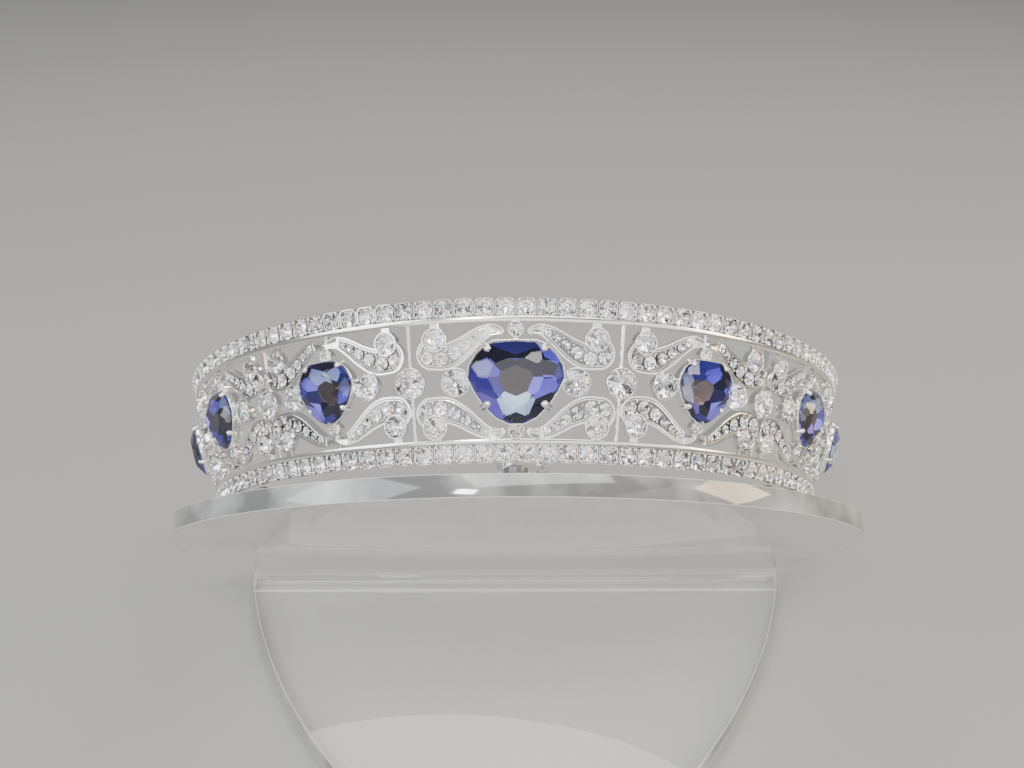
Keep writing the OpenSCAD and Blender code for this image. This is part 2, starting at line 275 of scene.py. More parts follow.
def modify(piece, name, kind, **settings):
    """Adds a modifier with these settings and applies it."""
    change = piece.modifiers.new(name, kind)
    for key, value in settings.items():
        setattr(change, key, value)
    bpy.ops.object.modifier_apply(modifier=change.name)


def paint(metal):
    """Gives the selected faces a finish of their own."""
    piece = bpy.context.edit_object
    if metal.name not in piece.data.materials:
        piece.data.materials.append(metal)
    piece.active_material_index = piece.data.materials.find(metal.name)
    bpy.ops.object.material_slot_assign()


def hollow_through(wall):
    """Opens the selected floor and the underside, which keeps a wall this wide, and joins their edges."""
    bpy.ops.mesh.delete(type="FACE")
    pick(is_bottom)
    inset(wall)
    bpy.ops.mesh.delete(type="FACE")
    pick(is_open, "EDGE")
    bpy.ops.mesh.bridge_edge_loops()


def finish_bench(piece, finish, smooth=30, bevel=0.0, segments=1):
    """Closes the edit, softens the edges and stores the piece as a master to copy."""
    bpy.ops.mesh.select_all(action="SELECT")
    bpy.ops.mesh.remove_doubles(threshold=1e-4)
    bpy.ops.mesh.normals_make_consistent(inside=False)
    bpy.ops.object.mode_set(mode="OBJECT")
    if len(piece.data.materials) == 0:
        piece.data.materials.append(finish)
    if bevel:
        modify(piece, "soft_edges", "BEVEL", width=bevel, segments=segments, limit_method="ANGLE",
               angle_limit=radians(40))
    if smooth:
        bpy.ops.object.shade_smooth_by_angle(angle=radians(smooth))
    else:
        bpy.ops.object.shade_flat()
    bench_pieces.append(piece)
    return piece


def set_copies(name, jobs, replaces=()):
    """One piece of the part, joined from copies of bench masters: each job is a master and its place."""
    bpy.ops.object.select_all(action="DESELECT")
    for master, place in jobs:
        copy = master.copy()
        copy.data = master.data.copy()
        bpy.context.collection.objects.link(copy)
        copy.data.transform(place)
        if place.determinant() < 0:
            copy.data.flip_normals()
        copy.select_set(True)
        bpy.context.view_layer.objects.active = copy
    if len(jobs) > 1:
        bpy.ops.object.join()
    piece = bpy.context.active_object
    piece.name = piece.data.name = name
    return settle(piece, replaces)


def set_metal(name, jobs):
    """One piece of the metal frame."""
    set_copies(name, jobs, ["tiara_frame"])


def settle(piece, replaces=()):
    """Hides the parts the piece stands for and makes it ride with the stand and tiara."""
    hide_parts(*replaces)
    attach(piece, "root")
    return piece


def add_tones(piece, seed, tone_of=None):
    """Gives each facet its own number from 0 to 1, which tints its fire a little."""
    dice = random.Random(seed)
    tone = piece.data.attributes.new("tone", "FLOAT", "FACE")
    tone.data.foreach_set("value", [tone_of(face, dice) if tone_of else dice.random()
                                    for face in piece.data.polygons])


# Finishes

FLOAT = "NodeSocketFloat"
COLOUR = "NodeSocketColor"
SHEET_IOR = 1.49
# How often light may turn inside the sheet and inside a stone before it leaves
SHEET_TURNS = 3
STONE_TURNS = 4


def new_material(name):
    material = bpy.data.materials.new(name)
    material.use_nodes = True
    tree = material.node_tree
    return material, tree, tree.nodes["Principled BSDF"]


def set_inputs(owner, values):
    for title, value in values.items():
        owner.inputs[title].default_value = value


def node(tree, kind, inputs=None, **settings):
    """A new node with these settings, and these values on its sockets."""
    new = tree.nodes.new(kind)
    for key, value in settings.items():
        setattr(new, key, value)
    set_inputs(new, inputs or {})
    return new


def new_group(name, inputs, outputs):
    group = bpy.data.node_groups.new(name, "ShaderNodeTree")
    for title, kind, value in inputs:
        group.interface.new_socket(title, in_out="INPUT", socket_type=kind).default_value = value
    for title, kind in outputs:
        group.interface.new_socket(title, in_out="OUTPUT", socket_type=kind)
    return group, group.nodes.new("NodeGroupInput"), group.nodes.new("NodeGroupOutput")


def make_rubbed_marks():
    """Fine hairline marks and cloudy rubbing: a height for bump and a mask for roughness."""
    group, given, out = new_group("rubbed_marks", [("Fineness", FLOAT, 900.0), ("Cloud Size", FLOAT, 120.0)],
                                  [("Height", FLOAT), ("Rub", FLOAT)])
    place = node(group, "ShaderNodeTexCoord")
    stretch = node(group, "ShaderNodeMapping", {"Scale": (1.0, 0.18, 1.0)})
    lines = node(group, "ShaderNodeTexNoise", {"Detail": 4})
    clouds = node(group, "ShaderNodeTexNoise", {"Detail": 5})
    link = group.links.new
    link(place.outputs["Object"], stretch.inputs["Vector"])
    link(stretch.outputs["Vector"], lines.inputs["Vector"])
    link(given.outputs["Fineness"], lines.inputs["Scale"])
    link(place.outputs["Object"], clouds.inputs["Vector"])
    link(given.outputs["Cloud Size"], clouds.inputs["Scale"])
    link(lines.outputs["Fac"], out.inputs["Height"])
    link(clouds.outputs["Fac"], out.inputs["Rub"])
    return group


def make_corner_shade_mask():
    """A mask that is bright on the raised edges of the metal and dark in its corners, where it paints shade.
    """
    group, given, out = new_group("painted_corner_shade", [("Low", FLOAT, 0.46), ("High", FLOAT, 0.56)],
                                  [("Edge", FLOAT)])
    form = node(group, "ShaderNodeNewGeometry")
    span = node(group, "ShaderNodeMapRange")
    link = group.links.new
    link(form.outputs["Pointiness"], span.inputs["Value"])
    link(given.outputs["Low"], span.inputs["From Min"])
    link(given.outputs["High"], span.inputs["From Max"])
    link(span.outputs["Result"], out.inputs["Edge"])
    return group


def make_stone_fire():
    """The tint of one facet, from its tone: mostly plain, with a share for each of three other colours."""
    group, given, out = new_group(
        "stone_fire",
        [("Plain", COLOUR, (1, 1, 1, 1)), ("First Fire", COLOUR, (1, 0.8, 0.85, 1)),
         ("Second Fire", COLOUR, (1, 0.95, 0.75, 1)), ("Third Fire", COLOUR, (0.8, 0.9, 1, 1)),
         ("Share", FLOAT, 0.12)],
        [("Color", COLOUR)])
    tone = node(group, "ShaderNodeAttribute", attribute_name="tone")
    link = group.links.new
    last = given.outputs["Plain"]
    for shares, fire in ((3, "Third Fire"), (2, "Second Fire"), (1, "First Fire")):
        least = node(group, "ShaderNodeMath", {1: -shares, 2: 1}, operation="MULTIPLY_ADD")
        over = node(group, "ShaderNodeMath", operation="GREATER_THAN")
        mix = node(group, "ShaderNodeMix", data_type="RGBA")
        link(given.outputs["Share"], least.inputs[0])
        link(tone.outputs["Fac"], over.inputs[0])
        link(least.outputs[0], over.inputs[1])
        link(over.outputs[0], mix.inputs["Factor"])
        link(last, mix.inputs["A"])
        link(given.outputs[fire], mix.inputs["B"])
        last = mix.outputs["Result"]
    link(last, out.inputs["Color"])
    return group


RUBBED_MARKS = make_rubbed_marks()
CORNER_SHADE_MASK = make_corner_shade_mask()
STONE_FIRE = make_stone_fire()


def add_marks(tree, fineness, cloud_size):
    return node(tree, "ShaderNodeGroup", {"Fineness": fineness, "Cloud Size": cloud_size},
                node_tree=RUBBED_MARKS)


def blend_colours(tree, shader, mask, low, high):
    blend = node(tree, "ShaderNodeMix", {"A": (*low, 1), "B": (*high, 1)}, data_type="RGBA")
    tree.links.new(mask, blend.inputs["Factor"])
    tree.links.new(blend.outputs["Result"], shader.inputs["Base Color"])


def roughen(tree, shader, mask, least, most, start=0.0):
    """Roughness that runs from least to most as the mask runs from start to 1."""
    rough = node(tree, "ShaderNodeMapRange", {"From Min": start, "To Min": least, "To Max": most})
    tree.links.new(mask, rough.inputs["Value"])
    tree.links.new(rough.outputs["Result"], shader.inputs["Roughness"])


def tint_facets(tree, shader, plain, fires, share):
    fire = node(tree, "ShaderNodeGroup", {"Share": share}, node_tree=STONE_FIRE)
    for title, colour in zip(("Plain", "First Fire", "Second Fire", "Third Fire"), (plain, *fires)):
        fire.inputs[title].default_value = (*colour, 1)
    tree.links.new(fire.outputs["Color"], shader.inputs["Base Color"])


def let_light_through(tree, shader, share, turns):
    """A share of the shadow rays pass the glass, and light that has turned often inside it leaves it."""
    path = node(tree, "ShaderNodeLightPath")
    less = node(tree, "ShaderNodeMath", {1: -share, 2: 1.0}, operation="MULTIPLY_ADD")
    late = node(tree, "ShaderNodeMath", {1: turns - 0.5}, operation="GREATER_THAN")
    left = node(tree, "ShaderNodeMath", operation="SUBTRACT", use_clamp=True)
    tree.links.new(path.outputs["Is Shadow Ray"], less.inputs[0])
    tree.links.new(path.outputs["Glossy Depth"], late.inputs[0])
    tree.links.new(less.outputs[0], left.inputs[0])
    tree.links.new(late.outputs[0], left.inputs[1])
    tree.links.new(left.outputs[0], shader.inputs["Alpha"])


def make_silver(name, bright, corner_shade_colour, gloss, rub, relief):
    """Bright plated metal, with painted shade that darkens its corners, and hairline marks."""
    material, tree, shader = new_material(name)
    marks = add_marks(tree, fineness=1400.0, cloud_size=260.0)
    corner_shade = node(tree, "ShaderNodeGroup", node_tree=CORNER_SHADE_MASK)
    bump = node(tree, "ShaderNodeBump", {"Strength": relief, "Distance": 0.02 * MM})
    # Painted shade: the colour darkens from the raised edges into the corners.
    blend_colours(tree, shader, corner_shade.outputs["Edge"], corner_shade_colour, bright)
    roughen(tree, shader, marks.outputs["Rub"], gloss, rub)
    tree.links.new(marks.outputs["Height"], bump.inputs["Height"])
    tree.links.new(bump.outputs["Normal"], shader.inputs["Normal"])
    shader.inputs["Metallic"].default_value = 1.0
    return material


def make_stone(name, plain, fires, share, ior, light):
    """Cut glass: clear, sharp, with a little colour in some facets."""
    material, tree, shader = new_material(name)
    tint_facets(tree, shader, plain, fires, share)
    set_inputs(shader, {"Roughness": 0.0, "IOR": ior, "Transmission Weight": 1.0})
    let_light_through(tree, shader, share=light, turns=STONE_TURNS)
    return material


def make_backing(name, plain, fires, share, gloss):
    """Mirror backing of a stone, with a tint of its own behind each facet; in some facets the tint is painted
    light and shade.
    """
    material, tree, shader = new_material(name)
    tint_facets(tree, shader, plain, fires, share)
    set_inputs(shader, {"Metallic": 1.0, "Roughness": gloss})
    return material


def make_clear_sheet(name, tint):
    """Polished clear sheet with faint handling marks."""
    material, tree, shader = new_material(name)
    marks = add_marks(tree, fineness=220.0, cloud_size=30.0)
    roughen(tree, shader, marks.outputs["Rub"], least=0.0, most=0.035, start=0.45)
    set_inputs(shader, {"Base Color": (*tint, 1), "IOR": SHEET_IOR, "Transmission Weight": 1.0})
    let_light_through(tree, shader, share=0.85, turns=SHEET_TURNS)
    return material


def make_sheet_edge(name, dark, pale):
    """Flame-polished edge of the sheet, which gathers the light and looks grey and streaked; an opaque colour
    paints this look, and the near-white form is a painted highlight on the corners.
    """
    material, tree, shader = new_material(name)
    marks = add_marks(tree, fineness=160.0, cloud_size=38.0)
    streak = node(tree, "ShaderNodeMapRange", {"From Min": 0.42, "From Max": 0.60})
    tree.links.new(marks.outputs["Rub"], streak.inputs["Value"])
    blend_colours(tree, shader, streak.outputs["Result"], dark, pale)
    set_inputs(shader, {"Roughness": 0.08, "IOR": SHEET_IOR, "Coat Weight": 0.6})
    return material


def make_pad_finish(name):
    """Soft grey rubber, a little cloudy."""
    material, tree, shader = new_material(name)
    marks = add_marks(tree, fineness=700.0, cloud_size=400.0)
    blend_colours(tree, shader, marks.outputs["Rub"], (0.07, 0.072, 0.07), (0.15, 0.152, 0.148))
    set_inputs(shader, {"Roughness": 0.32, "Coat Weight": 0.4})
    return material


SILVER = make_silver("bright_silver", (0.95, 0.94, 0.915), (0.64, 0.63, 0.60),
                     gloss=0.10, rub=0.24, relief=0.25)
# Darker silver for the groove and sunk field of the scrolls: painted shade between the small stones.
SHADED_FIELD_SILVER = make_silver("painted_shade_field_silver", (0.44, 0.44, 0.43), (0.23, 0.23, 0.23),
                           gloss=0.28, rub=0.46, relief=0.35)
CLEAR_STONE = make_stone(
    "clear_cut_stone", (1, 1, 1), ((1, 0.88, 0.92), (1, 0.97, 0.84), (0.86, 0.93, 1)),
    share=0.08, ior=1.6, light=0.6)
# Dark grey facets in the mirror backing are painted dark reflections; the faint pink and blue ones are
# painted fire.
CLEAR_BACKING = make_backing(
    "mirror_backing", (0.98, 0.98, 0.985), ((0.22, 0.21, 0.23), (1, 0.88, 0.82), (0.84, 0.90, 1)),
    share=0.11, gloss=0.09)
# The lilac and pale tints on some front facets of the blue stones are painted glints.
BLUE_STONE = make_stone(
    "blue_cut_stone", (0.86, 0.86, 1.0), ((0.98, 0.84, 0.96), (0.76, 0.94, 0.98), (0.74, 0.68, 0.98)),
    share=0.12, ior=1.65, light=0.8)
# Behind the blue stones, pale blue, periwinkle and near-black facets are painted light and shade on the navy
# backing.
BLUE_BACKING = make_backing(
    "blue_backing", (0.052, 0.044, 0.33), ((0.008, 0.007, 0.03), (0.23, 0.19, 0.78), (0.66, 0.88, 1.0)),
    share=0.2, gloss=0.36)
# Dark brown backing on the culet of the blue stones: painted shade, the dark view through the table.
DARK_VIEW_BACKING = make_backing(
    "painted_dark_view_backing", (0.045, 0.035, 0.033), ((0.06, 0.05, 0.06), (0.17, 0.14, 0.13), (0.10, 0.09, 0.10)),
    share=0.2, gloss=0.3)
CLEAR_SHEET = make_clear_sheet("clear_polished_sheet", (0.985, 0.992, 0.99))
# The sheet's edge is painted an opaque streaked grey, the look of the light gathered in the clear edge.
SHEET_EDGE = make_sheet_edge("polished_sheet_edge", (0.15, 0.152, 0.152), (0.50, 0.505, 0.50))
# Near-white opaque bevels along the sheet's corners: a painted highlight.
SHEET_CORNER_HIGHLIGHT = make_sheet_edge("painted_highlight_sheet_corner", (0.90, 0.92, 0.91), (0.97, 0.98, 0.97))
PAD_GREY = make_pad_finish("pad_grey")


# Cut stones, each started from a block and cut facet by facet

def cut_facet(turned, slope, height, reach, up):
    """Cuts one facet through the point at this turn, reach and height; up is -1 on the back."""
    slice_off((cos(turned) * reach, sin(turned) * reach, height),
              (cos(turned) * sin(slope), sin(turned) * sin(slope), up * cos(slope)))


def cut_ring(count, first, slope, height, reach, up=1):
    """Cuts evenly turned facets, each through a point at this height and reach."""
    for k in range(count):
        cut_facet(first + k * 2 * pi / count, slope, height, reach, up)


BACK_Z = -0.2


def paint_backs(backing):
    """The facets of the back carry a mirror backing."""
    pick(lambda middle, face: face.normal.z < BACK_Z)
    paint(backing)


def cut_brilliant():
    """Round brilliant of radius 1 with its girdle at height 0: table, stars, kites and split back."""
    stone = start("round_brilliant", bpy.ops.mesh.primitive_cube_add, size=4)
    stone.data.materials.append(CLEAR_STONE)
    sixteenth = pi / 16
    table, table_r, girdle, flat_r = 0.32, 0.513, 0.02, 0.981
    kite, star, split, back_main, back_split = (radians(slope) for slope in (34, 22, 40.6, 35.5, 38.5))
    cut_ring(16, sixteenth, pi / 2, 0, flat_r)
    slice_off((0, 0, table), (0, 0, 1))
    cut_ring(8, 0, kite, girdle, 1.0)
    cut_ring(8, 2 * sixteenth, star, table, table_r)
    cut_ring(16, sixteenth, split, girdle, flat_r)
    cut_ring(8, 0, back_main, -girdle, 1.0, up=-1)
    cut_ring(16, sixteenth, back_split, -girdle, flat_r, up=-1)
    paint_backs(CLEAR_BACKING)
    return finish_bench(stone, CLEAR_STONE, smooth=0)


def cut_small_stone():
    """Small stone of radius 1 for the scroll plates: table, sixteen facets and a shallow back."""
    stone = start("small_stone", bpy.ops.mesh.primitive_cube_add, size=4)
    stone.data.materials.append(CLEAR_STONE)
    eighth = pi / 8
    table, table_r, girdle, flat_r, back = 0.34, 0.56, 0.03, 0.96, -0.04
    main, star, back_main = (radians(slope) for slope in (38, 24, 18))
    cut_ring(8, eighth, pi / 2, 0, flat_r)
    slice_off((0, 0, table), (0, 0, 1))
    cut_ring(8, eighth, main, girdle, flat_r)
    cut_ring(8, 0, star, table, table_r)
    cut_ring(8, 0, back_main, back, 1.0, up=-1)
    paint_backs(CLEAR_BACKING)
    return finish_bench(stone, CLEAR_STONE, smooth=0)


# Right half of a blue stone's outline, from its top to its foot, on a half width and half height of 1
BLUE_HALF = [(0, 1), (0.42, 0.985), (0.64, 0.89), (0.83, 0.68), (0.97, 0.40), (1, 0.12),
             (0.86, -0.22), (0.66, -0.56), (0.42, -0.83), (0.15, -0.98)]


def blue_outline(size, grow=0.0):
    """Corners of a blue stone of this size, anticlockwise from the top."""
    left = [(-x, y) for x, y in BLUE_HALF[1:]]
    right = BLUE_HALF[:0:-1]
    w, h = size
    return [(x * (w / 2 + grow), y * (h / 2 + grow)) for x, y in [BLUE_HALF[0]] + left + right]


def cut_sides(outline):
    """Cuts upright faces along an outline."""
    for (ax, ay), (bx, by) in zip(outline, outline[1:] + outline[:1]):
        slice_off((ax, ay, 0), (by - ay, ax - bx, 0))


def cut_outline_rings(outline, rings, up=1):
    """Cuts a facet at each angle of a ring: it meets the outline, scaled by reach, at the ring's height."""
    for angles, slope, height, reach in rings:
        for a in angles:
            out = max(x * cos(a) + y * sin(a) for x, y in outline)
            cut_facet(a, radians(slope), height, out * reach, up)


# Tones of a blue stone's facets, by eighths of a turn from its right side; they paint light and shade: pale,
# periwinkle and near-black facets at the back, lilac glints in front
BLUE_NEAR_CULET = (0.9, 0.9, 0.9, 0.7, 0.2, 0.5, 0.5, 0.7)
BLUE_MIDDLE_BACK = (0.2, 0.7, 0.2, 0.9, 0.2, 0.7, 0.9, 0.9)
BLUE_STEEP_BACK = (0.9, 0.2, 0.2, 0.9, 0.7, 0.7, 0.2, 0.7)
BLUE_FRONT = (0.3, 0.95, 0.3, 0.95, 0.8, 0.3, 0.3, 0.7)
# Eighths of a turn by which each panel's stone turns this pattern
BLUE_TURNS = {1: 6, 2: 5, 3: 4, 4: 0, 5: 2, 6: 4, 7: 6}
CULET_Z = -0.98
NEAR_CULET_Z = -0.88
MIDDLE_BACK_Z = -0.72
TONE_SPREAD = 0.04


def blue_tones(turned):
    """Tones of a blue stone, its pattern turned by some eighths: some facets pale, others navy or lilac, as
    painted light and shade.
    """
    def tone_of(face, dice):
        normal = face.normal
        sixteenth = round(atan2(normal.y, normal.x) / (pi / 8)) % 16
        if normal.z > 0:
            tones = BLUE_FRONT
        elif normal.z < NEAR_CULET_Z:
            tones = BLUE_NEAR_CULET
        elif normal.z < MIDDLE_BACK_Z:
            tones = BLUE_MIDDLE_BACK
        else:
            tones = BLUE_STEEP_BACK
        return tones[(sixteenth // 2 + turned) % 8] + dice.uniform(-TONE_SPREAD, TONE_SPREAD)
    return tone_of


def cut_blue(size, name):
    """Blue stone: a broad table, kites, break facets round the girdle, and a stepped back."""
    outline = blue_outline(size)
    deep = size[1] / 2
    table, girdle, upper_step, lower_step, culet = (share * deep for share in (0.29, 0.02, 0.10, 0.30, 0.43))
    stone = start(name, bpy.ops.mesh.primitive_cube_add, size=40)
    cut_sides(outline)
    sides = [atan2(ax - bx, by - ay) for (ax, ay), (bx, by) in zip(outline, outline[1:] + outline[:1])]
    eighths = [k * pi / 4 + pi / 2 for k in range(8)]
    between = [a + pi / 8 for a in eighths]
    # Each ring's angles, slope in degrees, height and reach
    front = [(eighths, 33, girdle, 1.0), (between, 25, table, 0.56), (sides, 47, girdle, 1.0)]
    back = [(between, 50, -girdle, 1.0), (eighths, 36, -upper_step, 0.92), (between, 24, -lower_step, 0.62)]
    slice_off((0, 0, table), (0, 0, 1))
    cut_outline_rings(outline, front)
    slice_off((0, 0, -culet), (0, 0, -1))
    cut_outline_rings(outline, back, up=-1)
    stone.data.materials.append(BLUE_STONE)
    paint_backs(BLUE_BACKING)
    # The culet gets the painted dark view.
    pick(lambda middle, face: face.normal.z < CULET_Z)
    paint(DARK_VIEW_BACKING)
    return finish_bench(stone, BLUE_STONE, smooth=0)


# Metal masters

def make_claw(name, r, height, lean):
    """A small claw with a rounded head that leans over its stone, towards -x."""
    near = 0.1 * r
    claw = start(name, bpy.ops.mesh.primitive_uv_sphere_add, segments=8, ring_count=6, radius=r)
    pick(lambda middle, face: middle.z > near)
    slide(z=height)
    pick(lambda middle, point: middle.z > height - near, "VERT")
    slide(x=-lean)
    return finish_bench(claw, SILVER, smooth=60)


def make_bead():
    """Grain of metal between the small stones, of radius 1."""
    bead = start("grain", bpy.ops.mesh.primitive_uv_sphere_add, segments=6, ring_count=4, radius=1)
    return finish_bench(bead, SILVER, smooth=60)


def make_row_cup():
    """Square cup of one row stone, its front at depth 0, with cut corners and an open back."""
    corner_r, lip, seat_d, well_d, ledge, back_wall = 2.22, 0.12, 0.35, 0.55, 0.45, 0.55
    seat_taper = (0.94, 0.96)
    cup = start("row_cup", bpy.ops.mesh.primitive_cylinder_add, vertices=16, radius=corner_r, depth=ROW_DEPTH)
    slide(z=-ROW_DEPTH / 2)
    for x, y in ((CUP_W / 2, 0), (-CUP_W / 2, 0), (0, ROW_H / 2), (0, -ROW_H / 2)):
        slice_off((x, y, 0), (x, y, 0))
    pick(is_top)
    inset(lip)
    extrude(z=-seat_d)
    resize(*seat_taper, 1)
    extrude(z=-well_d)
    inset(ledge)
    extrude(z=-ROW_DEPTH + seat_d + well_d)
    hollow_through(back_wall)
    return finish_bench(cup, SILVER, smooth=35)


def make_setting(name, r, top, base, wall=RIM, flare=0.9):
    """Round open setting for a stone of radius r: a narrower foot, a flared neck and a thin lip."""
    high = top - base
    foot, neck, lip, bore = 0.5 * high, 0.28 * high, 0.22 * high, 0.35 * high
    lip_wall, ledge = 0.75 * wall, 0.22 * r
    seat = GIRDLE_SINK + BACK_DEPTH * 0.2 * r
    setting = start(name, bpy.ops.mesh.primitive_cylinder_add, vertices=28, depth=foot,
                    radius=(r + wall) * flare)
    slide(z=base + foot / 2)
    pick(is_top)
    extrude(z=neck)
    resize(1 / flare, 1 / flare, 1)
    extrude(z=lip)
    inset(lip_wall)
    extrude(z=-seat)
    inset(ledge)
    extrude(z=-bore)
    hollow_through(wall)
    return finish_bench(setting, SILVER, smooth=35, bevel=0.07)


# Body of a scroll from its tip to its round end: along, up from the rail, half width
SCROLL_SPINE = [(8.4, -1.55, 0.45), (7.4, -0.9, 0.85), (5.2, -0.95, 1.3), (2.7, -2.45, 1.7),
                (0.2, -4.25, 2.15), (-2.6, -5.5, 2.6), (-5.4, -5.0, 3.15)]
SCROLL_HEAD = (-5.0, -2.3)
SCROLL_MIDDLE = 11.0
SCROLL_CENTRE_V = 5
BROAD_SHIFT = 0.3
SIDE_SHIFT = 2.3
SCROLL_DROP = 0.8
LOW_MIDDLE_DROP = 0.15
COURSE_PARTS = 5
ROUND_END_PARTS = 9
FIELD_DEPTH = 0.32
FIELD_END = 5.6
FIELD_GAP = 1.1
TAIL_END = 8.2
# Borders of a scroll from its edge inwards: width, rise and the finish inside; the darker silver in the
# groove and the sunk field is painted shade
SCROLL_BORDERS = [(0.34, 0, SILVER), (0.05, -0.16, SHADED_FIELD_SILVER), (0.16, 0, SILVER), (0.05, 0.12, SILVER),
                  (0.17, 0, SILVER), (0.05, 0.04 - FIELD_DEPTH, SHADED_FIELD_SILVER)]
TAIL_BORDERS = [(0.26, 0), (0.08, -0.12)]
HOLE_GAP = 0.08


def smooth_course(table, parts):
    """Smooth course through the rows of a table, so many steps from each to the next."""
    rows = []
    last = len(table) - 1
    for i in range(last):
        a, b, c, d = (table[max(0, min(last, i + k))] for k in (-1, 0, 1, 2))
        for k in range(parts):
            f = k / parts
            rows.append(tuple(0.5 * (2 * q + (r - p) * f + (2 * p - 5 * q + 4 * r - s) * f * f
                                     + (3 * q - p - 3 * r + s) * f ** 3) for p, q, r, s in zip(a, b, c, d)))
    return rows + [table[last]]


def scroll_sections():
    """Centre, direction and half width of each section of the scroll, from tip to round end."""
    rows = smooth_course(SCROLL_SPINE, COURSE_PARTS)
    sections = []
    for k, (x, y, half) in enumerate(rows):
        ax, ay, _ = rows[max(0, k - 1)]
        bx, by, _ = rows[min(len(rows) - 1, k + 1)]
        # The rims need one long strip before the end of the sunk field
        if not FIELD_END - FIELD_GAP < x < FIELD_END:
            sections.append((x, y, atan2(by - ay, bx - ax), half))
    x, y, heading, half = sections[-1]
    for k in range(1, ROUND_END_PARTS + 1):
        a = k * pi / 2 / (ROUND_END_PARTS + 0.5)
        reach = half * sin(a)
        sections.append((x + cos(heading) * reach, y + sin(heading) * reach, heading, half * cos(a)))
    return sections


def make_scroll():
    """Comma plate of a scroll: a raised double rim round a sunk field, and an opening for the head stone."""
    sections = scroll_sections()
    x, y, heading, half = sections[0]
    plate = start("scroll_plate", bpy.ops.mesh.primitive_plane_add, size=2)
    pick(lambda middle, edge: middle.x < -0.5, "EDGE")
    bpy.ops.mesh.delete(type="EDGE")
    pick(lambda middle, edge: middle.x > 0.5, "EDGE")
    # The remaining edge is the tip: it is brought to its width, turned across the course and drawn along it
    slide(x=-1)
    resize(1, half, 1)
    rotate(heading, "Z")
    slide(x=x, y=y)
    for nx, ny, nheading, nhalf in sections[1:]:
        bpy.ops.mesh.extrude_edges_move(TRANSFORM_OT_translate={"value": (nx - x, ny - y, 0)})
        rotate(nheading - heading, "Z", (nx, ny, 0))
        resize(nhalf / half, nhalf / half, 1, (nx, ny, 0))
        x, y, heading, half = nx, ny, nheading, nhalf
    bpy.ops.mesh.select_mode(type="FACE")
    bpy.ops.mesh.select_all(action="SELECT")
    bpy.ops.mesh.normals_make_consistent(inside=False)
    bpy.ops.object.mode_set(mode="OBJECT")
    if plate.data.polygons[0].normal.z < 0:
        plate.data.flip_normals()
    modify(plate, "plate_thickness", "SOLIDIFY", thickness=SCROLL_T, offset=-1)
    plate.data.materials.append(SILVER)
    bpy.ops.object.mode_set(mode="EDIT")
    pick(lambda middle, face: is_top(middle, face) and FIELD_END < middle.x < TAIL_END)
    for width, rise in TAIL_BORDERS:
        inset(width, rise)
    pick(lambda middle, face: is_top(middle, face) and middle.x < FIELD_END)
    for width, rise, inner in SCROLL_BORDERS:
        inset(width, rise)
        paint(inner)
    bpy.ops.object.mode_set(mode="OBJECT")
    hole = start("head_opening", bpy.ops.mesh.primitive_cylinder_add, vertices=28, depth=6,
                 radius=HEAD_STONE_R + HOLE_GAP)
    slide(x=SCROLL_HEAD[0], y=SCROLL_HEAD[1])
    bpy.ops.object.mode_set(mode="OBJECT")
    bpy.ops.object.select_all(action="DESELECT")
    plate.select_set(True)
    bpy.context.view_layer.objects.active = plate
    modify(plate, "head_drill", "BOOLEAN", object=hole, operation="DIFFERENCE", solver="EXACT")
    bpy.data.objects.remove(hole)
    bpy.ops.object.mode_set(mode="EDIT")
    return finish_bench(plate, SILVER, smooth=35, bevel=0.06)


def make_bar(name, length, width, depth, top):
    """Straight upright piece, softened at its edges."""
    bar = start(name, bpy.ops.mesh.primitive_cube_add, size=1)
    resize(width, length, depth)
    slide(z=top - depth / 2)
    return finish_bench(bar, SILVER, bevel=0.1)


def make_rail(name, v):
    """Plain rail that edges the open work, its section spun round the band."""
    rail = start(name, bpy.ops.mesh.primitive_plane_add, size=1)
    depth = RAIL_FRONT - RAIL_BACK
    resize(depth, RAIL_H, 1)
    slide(x=RAIL_BACK + depth / 2, y=v + RAIL_H / 2)
    rotate(-pi / 2, "Y")
    rotate(pi / 2 + BAND_LEAN, "X")
    slide(y=-BAND_R)
    rotate(ROW_END, "Z")
    bpy.ops.mesh.spin(steps=RAIL_PARTS, angle=2 * ROW_END, center=(0, 0, 0), axis=(0, 0, 1))
    return finish_bench(rail, SILVER, smooth=35, bevel=0.12, segments=2)


def make_blue_setting(name, size):
    """Collar of a blue stone: a narrow foot, a flared wall and a ledge under the girdle."""
    lip_drop, neck_z, neck_h = 0.2, 0.4, 0.6
    lip, seat_d, ledge, bore_d, back_wall = 0.26, 0.75, 0.6, 1.0, 0.35
    neck_taper, bore_taper = (0.90, 0.89), (0.95, 0.95)
    collar = start(name, bpy.ops.mesh.primitive_cube_add, size=40)
    cut_sides(blue_outline(size, RIM + GAP))
    slice_off((0, 0, BLUE_LIFT - lip_drop), (0, 0, 1))
    slice_off((0, 0, neck_z), (0, 0, -1))
    pick(is_bottom)
    extrude(z=-neck_h)
    resize(*neck_taper, 1)
    extrude(z=SETTING_BASE + neck_h - neck_z)
    pick(is_top)
    inset(lip)
    extrude(z=-seat_d)
    inset(ledge)
    extrude(z=-bore_d)
    resize(*bore_taper, 1)
    hollow_through(back_wall)
    return finish_bench(collar, SILVER, smooth=30, bevel=0.07)


# The stand

FOOT_SIDE_PARTS = 16
FOOT_TIP_PARTS = 28
FOOT_TIP_END = radians(88.5)
BEND_PARTS = 20
EDGE_FACE_AREA = 30
STRIP_X = -70
STRIP_TILT = 0.02
CLOSE = 0.01
CORNER_TILT = 0.15
PAD_DOME_PARTS = 5


